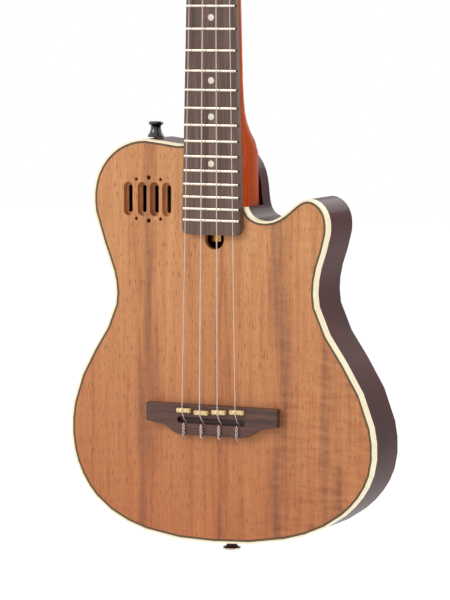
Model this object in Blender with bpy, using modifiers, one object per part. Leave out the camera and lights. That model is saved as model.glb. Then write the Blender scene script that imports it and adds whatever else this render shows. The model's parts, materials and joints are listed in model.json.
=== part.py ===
"""Tenor ukulele with a chambered solid body and one cutaway.

The instrument is modelled lying on its back: x runs across it to the treble side, y along the
neck towards the head, and z up from the face of the top. One empty then stands it upright, so
that the head points along +Z, the face looks along -Y, and the origin is the nut line on the
centre of the neck's glue face. Sizes are in metres, and MM turns millimetres into metres.
"""

import math

import bmesh
import bpy
import numpy as np
from mathutils import Matrix, Vector

MM = 0.001

# Clearances
FIT = 0.3 * MM
TURN_FIT = 0.4 * MM
TURN_ANGLE = 9.0
ROUND_SIDES = 18

# Body: the outline is the inner edge of the binding, from the neck's bass side round to its back
OUTLINE_ANCHORS = [
    (-31.0, -232.4), (-58.5, -228.9), (-81.0, -235.4), (-97.5, -254.5), (-100.4, -284.0),
    (-85.0, -329.0), (-83.2, -355.0), (-101.5, -390.8), (-119.6, -433.0), (-119.8, -469.0),
    (-101.0, -505.0), (-58.0, -528.0), (0.0, -533.5), (58.0, -527.6), (105.0, -506.3),
    (127.3, -475.0), (127.4, -439.5), (105.0, -392.3), (82.5, -351.0), (84.0, -321.0),
    (91.2, -296.0), (86.8, -276.4), (77.0, -271.4), (63.0, -279.5), (43.0, -289.1),
    (27.5, -284.2), (22.3, -264.0), (14.5, -242.0), (1.0, -232.8),
]
BODY_DEPTH = 53.0 * MM
BACK_ROUNDING = 5.0 * MM
SIDE_WALL = 17.0 * MM
BACK_WALL = 9.0 * MM
CHAMBER_BASS_X = -36.0 * MM
CHAMBER_TREBLE_X = 44.0 * MM
CHAMBER_TOP_Y = -252.0 * MM
CHAMBER_END_Y = -512.0 * MM
BINDING_WIDTH = 1.5 * MM
BINDING_DEPTH = 7.0 * MM
PURFLING_WIDTH = 1.0 * MM

# Top and its sound slots
TOP_THICKNESS = 5.5 * MM
SLOT_CENTRES_X = [-72.7 * MM, -60.7 * MM, -50.4 * MM, -39.9 * MM]
SLOT_CENTRE_Y = -273.3 * MM
SLOT_WIDTH = 3.4 * MM
SLOT_LENGTH = 21.2 * MM
RECESS_WIDTH = 8.0 * MM
RECESS_LENGTH = 26.0 * MM
RECESS_DEPTH = 3.9 * MM
HOLE_CENTRES_X = [-65.9 * MM, -55.4 * MM, -45.3 * MM]
HOLE_RADII = [1.4 * MM, 1.8 * MM, 1.4 * MM]
HOLE_ROW_OFFSETS = [15.1 * MM, 16.5 * MM, 15.1 * MM]

# Neck
SCALE_LENGTH = 431.8 * MM
NUT_HALF_WIDTH = 17.8 * MM
NECK_TAPER = 0.02155
TENON_END_Y = -292.0 * MM
HEEL_DEPTH = 33.7 * MM
CUTAWAY_LEDGE_Y = -277.2 * MM
CUTAWAY_CLEAR_X = 45.0 * MM
POCKET_TOP_Y = -200.0 * MM
SHAFT_DEPTH_NUT = 17.2 * MM
SHAFT_DEPTH_HEEL = 19.9 * MM
HEEL_START_Y = -183.0 * MM
HEEL_FULL_Y = -228.5 * MM
# Along the heel's curve: share of its length, share of its rise, and how square its section is
HEEL_CURVE = [
    (0.0, 0.0, 2.15), (0.3, 0.08, 2.25), (0.52, 0.22, 2.4), (0.68, 0.45, 2.7), (0.84, 0.77, 3.4),
    (1.0, 1.0, 6.0), (1.2, 1.0, 14.0),
]
SHAFT_SQUARENESS = 2.1
NECK_SECTION_STEPS = 12
# Behind the nut: distance along the neck and how much thinner the shaft has become there
HEAD_BLEND = [(24.0 * MM, 2.0 * MM), (14.0 * MM, 0.8 * MM), (6.0 * MM, 0.0)]

# Truss rod
ROD_RADIUS = 2.7 * MM
ROD_LEVEL = -6.0 * MM
ROD_TOP_Y = -14.0 * MM
ROD_SHOULDER = 3.0 * MM
ROD_THREAD_RADIUS = 1.9 * MM
ROD_NUT_RADIUS = 4.3 * MM
ROD_NUT_LENGTH = 11.5 * MM
ROD_KEY_RADIUS = 2.3 * MM
ROD_KEY_DEPTH = 5.0 * MM
ACCESS_RADIUS = 8.1 * MM
ACCESS_BEYOND_NECK = 10.0 * MM
ACCESS_DEPTH = 18.0 * MM

# Fingerboard, frets and nut
BOARD_THICKNESS = 5.4 * MM
BOARD_BEYOND_FRETS = 10.9 * MM
BOARD_CORNER = 5.0 * MM
FRET_COUNT = 19
FRET_CROWN_WIDTH = 2.2 * MM
FRET_CROWN_HEIGHT = 1.0 * MM
FRET_TANG_WIDTH = 0.5 * MM
FRET_TANG_DEPTH = 1.4 * MM
FRET_END_GAP = 0.5 * MM
NUT_LENGTH = 5.0 * MM
NUT_HEIGHT = 8.2 * MM

# Strings, from bass to treble
STRING_RADII = [0.33 * MM, 0.455 * MM, 0.405 * MM, 0.305 * MM]
STRING_COUNT = len(STRING_RADII)
STRING_SPREAD_NUT = 29.0 * MM
STRING_SPREAD_SADDLE = 44.4 * MM
STRING_HEIGHT_NUT = 7.9 * MM
WRAP_TURNS = 2
WRAP_STEPS = 24
WRAP_GAP = 0.55 * MM
WRAP_LEVEL = 3.4 * MM
TWIST_RADIUS = 0.85 * MM
TWIST_TURNS = 1.5
TWIST_STEPS = 9

# Bridge: lengths along the strings count from the end of the scale
BRIDGE_HALF_LENGTH = 54.8 * MM
BRIDGE_THICKNESS = 6.0 * MM
BRIDGE_AHEAD = 3.3 * MM
BRIDGE_TIP_BEHIND = 10.6 * MM
BRIDGE_WING_BEHIND = 12.3 * MM
BRIDGE_BLOCK_BEHIND = 20.0 * MM
BRIDGE_WING_X = 44.0 * MM
BRIDGE_BLOCK_X = 26.0 * MM
CHANNEL_HALF_LENGTH = 28.5 * MM
CHANNEL_TOP_BEHIND = 6.4 * MM
CHANNEL_WIDTH = 4.8 * MM
CHANNEL_DEPTH = 4.6 * MM
TIE_HOLE_HEIGHT = 2.8 * MM
TIE_HOLE_ROOM = 0.6 * MM
SADDLE_WIDTH = 10.8 * MM
SADDLE_LENGTH = 3.3 * MM
SADDLE_HEIGHT = 10.1 * MM
SADDLE_SEAT_DEPTH = 3.0 * MM
COMPENSATION = [1.3 * MM, 2.4 * MM, 1.3 * MM, 0.5 * MM]

# Head and tuners
HEAD_TILT = math.radians(12.0)
HEAD_THICKNESS = 12.0 * MM
HEAD_HALF_ANCHORS = [
    (17.8, 0.0), (20.4, 13.0), (27.6, 28.0), (31.0, 44.0), (31.0, 72.0), (31.4, 104.0),
    (33.4, 130.0), (27.5, 145.5), (12.0, 148.5), (0.0, 145.5),
]
POST_X = 18.5 * MM
POST_ROWS = [54.0 * MM, 100.0 * MM]
POST_RADIUS = 3.0 * MM
POST_HEIGHT = 10.5 * MM
POST_HOLE_LEVEL = 8.2 * MM
POST_HOLE_RADIUS = 0.8 * MM
PLATE_THICKNESS = 1.2 * MM
PLATE_HALF_WIDTH = 7.2 * MM
PLATE_ABOVE = 10.0 * MM
PLATE_BELOW = 14.5 * MM
GEAR_TEETH = 14
GEAR_MODULE = 0.75 * MM
GEAR_THICKNESS = 3.6 * MM
TOOTH_HEIGHT = 0.7 * MM
TOOTH_ROOT = 0.85 * MM
TOOTH_THICKNESS = 0.85 * MM
WORM_PITCH_RADIUS = 2.6 * MM
WORM_CREST_RADIUS = 3.2 * MM
WORM_ROOT_RADIUS = 1.75 * MM
THREAD_ROOT = 1.25 * MM
THREAD_CREST = 0.4 * MM
WORM_TURNS = 2.5
WORM_STEPS = 10
WORM_LEVEL = -17.1 * MM
LUG_CENTRE = 6.0 * MM
LUG_THICKNESS = 1.6 * MM
LUG_HALF_HEIGHT = 3.2 * MM
SHAFT_RADIUS = 1.5 * MM
COLLAR_RADIUS = 2.6 * MM
BUTTON_CENTRE = 21.5 * MM
BUTTON_SIZE = (14.0 * MM, 18.0 * MM, 9.5 * MM)

# Strap buttons, jack, preamp, battery and neck bolts
SHOULDER_BUTTON_X = -62.1 * MM
END_BUTTON_X = 2.5 * MM
SHOULDER_PROFILE = [
    (4.6, 12.2), (5.8, 11.4), (5.8, 9.9), (4.2, 8.9), (3.95, 6.4), (5.0, 3.4), (6.5, 1.2), (6.5, 0.0),
]
END_PROFILE = [
    (3.6, 9.0), (6.4, 8.5), (7.3, 7.4), (7.3, 6.2), (4.6, 5.2), (4.1, 3.2), (5.4, 1.0), (5.8, 0.0),
]
SCREW_RADIUS = 1.75 * MM
SCREW_LENGTH = 17.0 * MM
JACK_Y = -455.0 * MM
JACK_FLANGE_RADIUS = 9.0 * MM
JACK_BUSH_RADIUS = 4.6 * MM
JACK_BORE_RADIUS = 3.3 * MM
JACK_LENGTH = 28.0 * MM
PREAMP_Y = -311.0 * MM
PREAMP_LENGTH = 38.0 * MM
PREAMP_WIDTH = 24.0 * MM
PREAMP_DEPTH = 21.0 * MM
PREAMP_FLANGE = 1.8 * MM
PREAMP_FLANGE_EDGE = 3.2 * MM
KNOB_SPACING = 11.5 * MM
KNOB_RADIUS = 4.4 * MM
KNOB_HEIGHT = 5.5 * MM
KNOB_SHAFT_RADIUS = 1.6 * MM
KNOB_SHAFT_LENGTH = 8.0 * MM
DOOR_HALF_WIDTH = 17.5 * MM
DOOR_TOP_Y = -424.0 * MM
DOOR_END_Y = -488.0 * MM
DOOR_THICKNESS = 2.4 * MM
BATTERY_WIDTH = 26.5 * MM
BATTERY_LENGTH = 46.4 * MM
BATTERY_DEPTH = 17.0 * MM
TERMINAL_LENGTH = 2.6 * MM
TERMINAL_RADIUS = 3.4 * MM
TERMINAL_SPACING = 12.8 * MM
BOLT_ROWS = [-249.0 * MM, -275.0 * MM]
BOLT_HEAD_RADIUS = 4.8 * MM
BOLT_HEAD_HEIGHT = 3.2 * MM
BOLT_RADIUS = 2.3 * MM
BOLT_LENGTH = 34.0 * MM

# Values worked out from the sizes above
BOARD_TOP = FIT + BOARD_THICKNESS
HEAD_START_Y = NUT_LENGTH + FIT
ACCESS_CENTRE_Y = TENON_END_Y - ACCESS_BEYOND_NECK
HARDWARE_LEVEL = -BODY_DEPTH / 2
BRIDGE_TOP = FIT + BRIDGE_THICKNESS
SADDLE_BASE = BRIDGE_TOP - SADDLE_SEAT_DEPTH + FIT
TIE_HOLE_LEVEL = FIT + TIE_HOLE_HEIGHT
CHANNEL_TOP_Y = -SCALE_LENGTH - CHANNEL_TOP_BEHIND
CHANNEL_END_Y = CHANNEL_TOP_Y - CHANNEL_WIDTH
BLOCK_END_Y = -SCALE_LENGTH - BRIDGE_BLOCK_BEHIND
GEAR_PITCH_RADIUS = GEAR_TEETH * GEAR_MODULE / 2
WORM_PITCH = math.pi * GEAR_MODULE
WORM_OFFSET = GEAR_PITCH_RADIUS + WORM_PITCH_RADIUS


def clear_scene():
    for item in list(bpy.data.objects):
        bpy.data.objects.remove(item, do_unlink=True)


def new_collection(name):
    collection = bpy.data.collections.new(name)
    bpy.context.scene.collection.children.link(collection)
    return collection


def new_material(name, colour, roughness, metallic=0.0):
    material = bpy.data.materials.new(name)
    material.use_nodes = True
    shader = material.node_tree.nodes["Principled BSDF"]
    shader.inputs["Base Color"].default_value = (*colour, 1.0)
    shader.inputs["Roughness"].default_value = roughness
    shader.inputs["Metallic"].default_value = metallic
    material.diffuse_color = (*colour, 1.0)
    return material


clear_scene()
PARTS = new_collection("tenor_ukulele")
CUTTERS = new_collection("cutters")

STAINED_WOOD = new_material("stained_wood", (0.09, 0.012, 0.012), 0.25)
TOP_WOOD = new_material("top_wood", (0.55, 0.25, 0.11), 0.45)
NECK_WOOD = new_material("neck_wood", (0.35, 0.08, 0.015), 0.3)
ROSEWOOD = new_material("rosewood", (0.09, 0.04, 0.03), 0.5)
CREAM = new_material("cream_binding", (0.85, 0.75, 0.5), 0.35)
PURFLE = new_material("dark_purfling", (0.1, 0.07, 0.035), 0.5)
BONE = new_material("bone", (0.8, 0.72, 0.55), 0.4)
STEEL = new_material("fret_metal", (0.75, 0.72, 0.68), 0.25, 1.0)
NICKEL = new_material("nickel", (0.7, 0.68, 0.64), 0.2, 1.0)
BRASS = new_material("brass", (0.6, 0.4, 0.15), 0.35, 1.0)
BLACK = new_material("black_hardware", (0.015, 0.015, 0.017), 0.25)
NYLON = new_material("nylon", (0.75, 0.68, 0.66), 0.3)
PEARL = new_material("button_plastic", (0.8, 0.78, 0.7), 0.3)


def new_empty(name, parent=None, location=(0, 0, 0), rotation=(0, 0, 0)):
    empty = bpy.data.objects.new(name, None)
    PARTS.objects.link(empty)
    empty.parent = parent
    empty.location = location
    empty.rotation_euler = rotation
    return empty


STAND = new_empty("stand", rotation=(math.radians(90.0), 0, 0))
HEAD = new_empty("head_plane", STAND, (0, HEAD_START_Y, 0), (-HEAD_TILT, 0, 0))


def add_part(name, data, material, parent=STAND, location=(0, 0, 0), rotation=(0, 0, 0)):
    part = bpy.data.objects.new(name, data)
    PARTS.objects.link(part)
    part.parent = parent
    part.location = location
    part.rotation_euler = rotation
    data.name = name
    data.materials.clear()
    data.materials.append(material)
    return part


def add_helper(name, data, parent=STAND, location=(0, 0, 0), rotation=(0, 0, 0)):
    """A cutter or a joined shape, which the build leaves out."""
    helper = bpy.data.objects.new(name, data)
    CUTTERS.objects.link(helper)
    helper.parent = parent
    helper.location = location
    helper.rotation_euler = rotation
    helper.hide_render = True
    helper.display_type = "WIRE"
    return helper


def combine(part, helper, operation="DIFFERENCE"):
    modifier = part.modifiers.new(helper.name, "BOOLEAN")
    modifier.object = helper
    modifier.operation = operation
    modifier.solver = "EXACT"


def smooth(data, angle=35.0):
    data.shade_smooth()
    data.set_sharp_from_angle(angle=math.radians(angle))
    return data


def edit(data, change):
    """Run a bmesh change on a mesh and set its normals facing out."""
    work = bmesh.new()
    work.from_mesh(data)
    change(work)
    bmesh.ops.recalc_face_normals(work, faces=work.faces)
    work.to_mesh(data)
    work.free()
    return data


def from_curve(curve):
    """Turn a curve into a closed mesh: its caps are welded on."""
    holder = bpy.data.objects.new("curve", curve)
    bpy.context.scene.collection.objects.link(holder)
    depsgraph = bpy.context.evaluated_depsgraph_get()
    data = bpy.data.meshes.new_from_object(holder.evaluated_get(depsgraph))
    bpy.data.objects.remove(holder)
    return edit(data, lambda work: bmesh.ops.remove_doubles(work, verts=work.verts, dist=1e-7))


def plate(outlines, bottom, top):
    """A flat shape from its outline and the outlines of its holes, between two levels."""
    curve = bpy.data.curves.new("outline", "CURVE")
    curve.dimensions = "2D"
    curve.fill_mode = "BOTH"
    curve.extrude = (top - bottom) / 2
    for outline in outlines:
        spline = curve.splines.new("POLY")
        spline.points.add(len(outline) - 1)
        spline.use_cyclic_u = True
        for point, (x, y) in zip(spline.points, outline):
            point.co = (x, y, 0, 1)
    data = from_curve(curve)
    data.transform(Matrix.Translation((0, 0, (bottom + top) / 2)))
    return data


def box(low, high):
    size = Vector(high) - Vector(low)
    middle = (Vector(high) + Vector(low)) / 2
    data = bpy.data.meshes.new("box")
    matrix = Matrix.Translation(middle) @ Matrix.Diagonal((*size, 1.0))
    return edit(data, lambda work: bmesh.ops.create_cube(work, size=1.0, matrix=matrix))


def cylinder(radius, start, end, sides=ROUND_SIDES):
    """A round bar between two points."""
    start = Vector(start)
    end = Vector(end)
    turn = Vector((0, 0, 1)).rotation_difference(end - start).to_matrix().to_4x4()
    matrix = Matrix.Translation((start + end) / 2) @ turn
    data = bpy.data.meshes.new("bar")
    depth = (end - start).length

    def change(work):
        bmesh.ops.create_cone(
            work, cap_ends=True, segments=sides, radius1=radius, radius2=radius, depth=depth, matrix=matrix
        )

    return smooth(edit(data, change))


def gather(meshes):
    """Several separate closed shapes in one mesh, for use as one cutter."""
    data = bpy.data.meshes.new("group")

    def change(work):
        for item in meshes:
            work.from_mesh(item)

    return edit(data, change)


def loft(sections, closed_ends=True):
    """Skin closed sections that all have the same number of points."""
    data = bpy.data.meshes.new("loft")

    def change(work):
        rings = [[work.verts.new(point) for point in section] for section in sections]
        for ring, following in zip(rings, rings[1:]):
            for i in range(len(ring)):
                j = (i + 1) % len(ring)
                work.faces.new((ring[i], ring[j], following[j], following[i]))
        if closed_ends:
            work.faces.new(rings[0])
            work.faces.new(rings[-1])

    return edit(data, change)


def turned(name, profile, material, parent, location, rotation, sides=ROUND_SIDES):
    """A turned piece: the profile runs from the axis at the top to the axis at the bottom."""
    data = bpy.data.meshes.new(name)
    work = bmesh.new()
    rows = [work.verts.new((radius, 0, height)) for radius, height in profile]
    for row, following in zip(rows, rows[1:]):
        work.edges.new((row, following))
    work.to_mesh(data)
    work.free()
    part = add_part(name, data, material, parent, location, rotation)
    screw = part.modifiers.new("turn", "SCREW")
    screw.steps = sides
    screw.render_steps = sides
    screw.use_merge_vertices = True
    screw.merge_threshold = 0.00001
    screw.use_smooth_shade = True
    return part


def tube(points, radius, resolution=1):
    """A cord or wire through the points, with filled caps."""
    curve = bpy.data.curves.new("wire", "CURVE")
    curve.dimensions = "3D"
    curve.bevel_depth = radius
    curve.bevel_resolution = resolution
    curve.use_fill_caps = True
    spline = curve.splines.new("POLY")
    spline.points.add(len(points) - 1)
    for point, place in zip(spline.points, points):
        point.co = (*place, 1)
    return curve


def spline_points(anchors, closed=True, turn=TURN_ANGLE):
    """A smooth curve through the anchors (millimetres), with a point at each small turn (metres)."""
    places = np.array(anchors, float) * MM
    count = len(places)
    spans = count if closed else count - 1
    lengths = [np.linalg.norm(places[(i + 1) % count] - places[i]) for i in range(spans)]
    system = np.zeros((count, count))
    sides = np.zeros((count, 2))
    for i in range(spans):
        j = (i + 1) % count
        step = places[j] - places[i]
        for row, other in ((i, j), (j, i)):
            system[row, row] += 2 / lengths[i]
            system[row, other] += 1 / lengths[i]
            sides[row] += 3 * step / lengths[i] ** 2
    slopes = np.linalg.solve(system, sides)
    points = []
    for i in range(spans):
        j = (i + 1) % count
        heading = math.atan2(slopes[i][1], slopes[i][0])
        next_heading = math.atan2(slopes[j][1], slopes[j][0])
        bend = abs((next_heading - heading + math.pi) % math.tau - math.pi)
        steps = max(2, round(math.degrees(bend) / turn))
        for k in range(steps):
            t = k / steps
            start_part = (
                (2 * t**3 - 3 * t**2 + 1) * places[i] + (t**3 - 2 * t**2 + t) * lengths[i] * slopes[i]
            )
            end_part = (3 * t**2 - 2 * t**3) * places[j] + (t**3 - t**2) * lengths[i] * slopes[j]
            points.append(start_part + end_part)
    if not closed:
        points.append(places[-1])
    return np.array(points)


def offset(outline, distance):
    """The outline moved outwards by a distance, or inwards by a negative one."""
    following = np.roll(outline, -1, 0)
    previous = np.roll(outline, 1, 0)
    ahead = following - outline
    behind = outline - previous
    ahead /= np.linalg.norm(ahead, axis=1)[:, None]
    behind /= np.linalg.norm(behind, axis=1)[:, None]
    tangent = ahead + behind
    tangent /= np.linalg.norm(tangent, axis=1)[:, None]
    area = np.sum(outline[:, 0] * following[:, 1] - following[:, 0] * outline[:, 1])
    normal = np.stack([tangent[:, 1], -tangent[:, 0]], 1) * np.sign(area)
    stretch = 1 / np.clip(np.sum(tangent * ahead, axis=1), 0.5, 1)
    moved = outline + normal * (distance * stretch)[:, None]
    return moved[[clearance(outline, point) > abs(distance) * 0.98 for point in moved]]


def clearance(outline, point):
    """Distance from a point to an outline."""
    spans = np.roll(outline, -1, 0) - outline
    share = np.sum((point - outline) * spans, axis=1) / np.sum(spans**2, axis=1)
    nearest = outline + spans * np.clip(share, 0, 1)[:, None]
    return np.min(np.linalg.norm(nearest - point, axis=1))


def crossings(outline, axis, value):
    """Where an outline crosses x = value (axis 0) or y = value (axis 1), low to high."""
    found = []
    for start, end in zip(outline, np.roll(outline, -1, 0)):
        if (start[axis] - value) * (end[axis] - value) < 0:
            share = (value - start[axis]) / (end[axis] - start[axis])
            found.append(float(start[1 - axis] + share * (end[1 - axis] - start[1 - axis])))
    return sorted(found)


def stadium(x, y, width, length, sides=8):
    """A slot outline with round ends, long in y."""
    radius = width / 2
    reach = length / 2 - radius
    upper = [math.pi * i / sides for i in range(sides + 1)]
    top = [(x + radius * math.cos(a), y + reach + radius * math.sin(a)) for a in upper]
    end = [(x - radius * math.cos(a), y - reach - radius * math.sin(a)) for a in upper]
    return top + end


def neck_half_width(y):
    return NUT_HALF_WIDTH - NECK_TAPER * min(y, 0.0)


def fret_y(number):
    return -SCALE_LENGTH * (1 - 2 ** (-number / 12))


BOARD_END_Y = fret_y(FRET_COUNT) - BOARD_BEYOND_FRETS
BINDING_LINE = spline_points(OUTLINE_ANCHORS)
BODY_LINE = offset(BINDING_LINE, BINDING_WIDTH)
PURFLING_LINE = offset(BINDING_LINE, -FIT)
PURFLING_INNER_LINE = offset(BINDING_LINE, -FIT - PURFLING_WIDTH)
TOP_LINE = offset(BINDING_LINE, -2 * FIT - PURFLING_WIDTH)
CHAMBER_LINE = offset(BODY_LINE, -SIDE_WALL)


def neck_pocket(name):
    """The space that the heel and the fingerboard's end take out of the body and its edging."""
    upper = neck_half_width(POCKET_TOP_Y) + FIT
    lower = neck_half_width(TENON_END_Y) + FIT
    ledge = neck_half_width(CUTAWAY_LEDGE_Y) + FIT
    outline = [
        (-upper, POCKET_TOP_Y),
        (-lower, TENON_END_Y - FIT),
        (lower, TENON_END_Y - FIT),
        (ledge, CUTAWAY_LEDGE_Y),
        (CUTAWAY_CLEAR_X, CUTAWAY_LEDGE_Y),
        (CUTAWAY_CLEAR_X, POCKET_TOP_Y),
    ]
    return add_helper(name, plate([outline], -HEEL_DEPTH - FIT, FIT))


def access_opening(name):
    """The round hole below the fingerboard, and the way from it to the neck's end."""
    well = cylinder(ACCESS_RADIUS, (0, ACCESS_CENTRE_Y, -ACCESS_DEPTH), (0, ACCESS_CENTRE_Y, FIT), 24)
    helper = add_helper(name, well)
    reach = ROD_NUT_RADIUS + 2 * TURN_FIT
    low = (-reach, ACCESS_CENTRE_Y, ROD_LEVEL - reach)
    way = add_helper(name + "_way", box(low, (reach, TENON_END_Y, FIT)))
    combine(helper, way, "UNION")
    return helper


def chamber(name, low_x, high_x):
    line = plate([CHAMBER_LINE], BACK_WALL - BODY_DEPTH, 0)
    helper = add_helper(name, line)
    low = (low_x, CHAMBER_END_Y, -BODY_DEPTH)
    limit = add_helper(name + "_limit", box(low, (high_x, CHAMBER_TOP_Y, FIT)))
    combine(helper, limit, "INTERSECT")
    return helper


def rounded_back(data):
    """Round the rim of the body's back."""

    def change(work):
        bmesh.ops.dissolve_limit(work, angle_limit=0.001, verts=work.verts, edges=work.edges)
        rim = [edge for edge in work.edges if all(v.co.z < 0.5 * MM - BODY_DEPTH for v in edge.verts)]
        bmesh.ops.bevel(work, geom=rim, offset=BACK_ROUNDING, segments=2, profile=0.5, affect="EDGES")

    return smooth(edit(data, change))


def make_body():
    seat = -TOP_THICKNESS - FIT
    rebate = -BINDING_DEPTH - FIT
    body = add_part("body", rounded_back(plate([BODY_LINE], -BODY_DEPTH, rebate)), STAINED_WOOD)
    core = offset(BINDING_LINE, -FIT)
    combine(body, add_helper("body_core", plate([core], rebate - 1.0 * MM, seat)), "UNION")
    combine(body, chamber("bass_chamber", -BODY_DEPTH * 4, CHAMBER_BASS_X))
    combine(body, chamber("treble_chamber", CHAMBER_TREBLE_X, BODY_DEPTH * 4))
    combine(body, neck_pocket("body_neck_pocket"))
    combine(body, access_opening("body_access"))
    return body


def make_top():
    top = add_part("soundboard", plate([TOP_LINE], -TOP_THICKNESS, 0), TOP_WOOD)
    under = -TOP_THICKNESS - FIT
    recesses = []
    ways = []
    for x in SLOT_CENTRES_X:
        recess = stadium(x, SLOT_CENTRE_Y, RECESS_WIDTH, RECESS_LENGTH)
        recesses.append(plate([recess], -RECESS_DEPTH, FIT))
        slot = stadium(x, SLOT_CENTRE_Y, SLOT_WIDTH, SLOT_LENGTH, 6)
        ways.append(plate([slot], under, FIT))
    for x, radius, rise in zip(HOLE_CENTRES_X, HOLE_RADII, HOLE_ROW_OFFSETS):
        for y in (SLOT_CENTRE_Y + rise, SLOT_CENTRE_Y - rise):
            ways.append(cylinder(radius, (x, y, under), (x, y, FIT), 12))
    combine(top, add_helper("slot_recesses", gather(recesses)))
    combine(top, add_helper("slot_ways", gather(ways)))
    combine(top, neck_pocket("soundboard_neck_pocket"))
    combine(top, access_opening("soundboard_access"))


def make_edging():
    binding = add_part("binding", plate([BODY_LINE, BINDING_LINE], -BINDING_DEPTH, 0), CREAM)
    combine(binding, neck_pocket("binding_neck_pocket"))
    ring = plate([PURFLING_LINE, PURFLING_INNER_LINE], -TOP_THICKNESS, 0)
    purfling = add_part("purfling", ring, PURFLE)
    combine(purfling, neck_pocket("purfling_neck_pocket"))


def neck_stations():
    """Where the neck's sections lie, with the depth and squareness of each."""
    taper = (SHAFT_DEPTH_HEEL - SHAFT_DEPTH_NUT) / HEEL_START_Y
    stations = [(y, SHAFT_DEPTH_NUT - thinner, SHAFT_SQUARENESS) for y, thinner in HEAD_BLEND]
    for share in (0.08, 0.34, 0.67):
        y = HEEL_START_Y * share
        stations.append((y, SHAFT_DEPTH_NUT + taper * y, SHAFT_SQUARENESS))
    for along, rise, squareness in HEEL_CURVE:
        y = HEEL_START_Y + (HEEL_FULL_Y - HEEL_START_Y) * along
        stations.append((y, SHAFT_DEPTH_HEEL + (HEEL_DEPTH - SHAFT_DEPTH_HEEL) * rise, squareness))
    stations.append((TENON_END_Y, *stations[-1][1:]))
    return stations


def neck_section(y, depth, squareness):
    """Flat on the glue side and a rounded or squared back, at one place along the neck."""
    face = -max(y - HEAD_START_Y, 0.0) * math.tan(HEAD_TILT)
    face -= FIT if y > HEAD_START_Y else 0.0
    half = neck_half_width(y) - (FIT if y > 0 else 0.0)
    power = 2 / squareness
    points = []
    for i in range(NECK_SECTION_STEPS + 1):
        angle = math.pi * i / NECK_SECTION_STEPS
        across = math.copysign(abs(math.cos(angle)) ** power, math.cos(angle))
        down = math.sin(angle) ** power if 0 < i < NECK_SECTION_STEPS else 0.0
        points.append((half * across, y, face - (depth + face) * down))
    return points


def head_outline():
    side = spline_points(HEAD_HALF_ANCHORS, closed=False)
    return [tuple(p) for p in side] + [(-x, y) for x, y in side[-2::-1]]


def make_neck():
    shaft = loft([neck_section(*station) for station in neck_stations()])
    neck = add_part("neck", smooth(shaft, 40.0), NECK_WOOD)
    head = add_helper("head_shape", plate([head_outline()], -HEAD_THICKNESS, 0), HEAD)
    combine(neck, head, "UNION")
    half = ROD_RADIUS + FIT
    low = (-half, TENON_END_Y - FIT, ROD_LEVEL - half)
    channel = box(low, (half, ROD_TOP_Y + FIT, FIT))
    combine(neck, add_helper("rod_channel", channel))
    hole = POST_RADIUS + TURN_FIT
    holes = []
    for side in (-1, 1):
        for row in POST_ROWS:
            x = side * POST_X
            holes.append(cylinder(hole, (x, row, -HEAD_THICKNESS - FIT), (x, row, FIT), 16))
    combine(neck, add_helper("post_holes", gather(holes), HEAD))
    return neck


def make_truss_rod():
    shoulder = TENON_END_Y + ROD_SHOULDER
    bar = cylinder(ROD_RADIUS, (0, shoulder, ROD_LEVEL), (0, ROD_TOP_Y, ROD_LEVEL), 12)
    rod = add_part("truss_rod", bar, NICKEL)
    nut_start = TENON_END_Y - 2 * FIT
    tip = nut_start - ROD_NUT_LENGTH / 2
    thread = cylinder(ROD_THREAD_RADIUS, (0, tip + FIT, ROD_LEVEL), (0, shoulder + FIT, ROD_LEVEL), 12)
    combine(rod, add_helper("rod_thread", thread), "UNION")
    nut_end = -ROD_NUT_LENGTH
    body = cylinder(ROD_NUT_RADIUS, (0, nut_end, 0), (0, 0, 0), 6)
    nut = add_part("truss_rod_nut", body, BRASS, location=(0, nut_start, ROD_LEVEL))
    bore = cylinder(ROD_THREAD_RADIUS + TURN_FIT, (0, tip - nut_start, 0), (0, FIT, 0), 12)
    key = cylinder(ROD_KEY_RADIUS, (0, nut_end - FIT, 0), (0, nut_end + ROD_KEY_DEPTH, 0), 6)
    combine(nut, add_helper("rod_nut_bores", gather([bore, key]), location=(0, nut_start, ROD_LEVEL)))


def board_outline():
    """The tapered fingerboard with its two rounded end corners."""
    upper = neck_half_width(0.0)
    lower = neck_half_width(BOARD_END_Y)
    outline = [(upper, -FIT), (-upper, -FIT)]
    centre_y = BOARD_END_Y + BOARD_CORNER
    centre_x = lower - BOARD_CORNER
    quarter = [math.pi / 2 * i / 5 for i in range(6)]
    for angle in quarter:
        outline.append(
            (-centre_x - BOARD_CORNER * math.cos(angle), centre_y - BOARD_CORNER * math.sin(angle))
        )
    for angle in reversed(quarter):
        outline.append((centre_x + BOARD_CORNER * math.cos(angle), centre_y - BOARD_CORNER * math.sin(angle)))
    return outline


def make_fret(number, y):
    """A fret: a domed crown over a thin tang, its ends sloped in."""
    half = neck_half_width(y) - FRET_END_GAP
    crown = FRET_CROWN_WIDTH / 2
    tang = FRET_TANG_WIDTH / 2
    foot = BOARD_TOP + FIT
    top = BOARD_TOP + FRET_CROWN_HEIGHT
    profile = [(tang, BOARD_TOP - FRET_TANG_DEPTH), (tang, foot), (crown, foot)]
    for angle in (30, 65, 90, 115, 150):
        turn = math.radians(angle)
        profile.append((crown * math.cos(turn), foot + (top - foot) * math.sin(turn)))
    profile += [(-crown, foot), (-tang, foot), (-tang, BOARD_TOP - FRET_TANG_DEPTH)]
    ends = []
    for side in (-1, 1):
        ends.append([(side * (half - 0.6 * max(z - foot, 0.0)), y + along, z) for along, z in profile])
    add_part(f"fret_{number:02d}", smooth(loft(ends), 50.0), STEEL)


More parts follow.
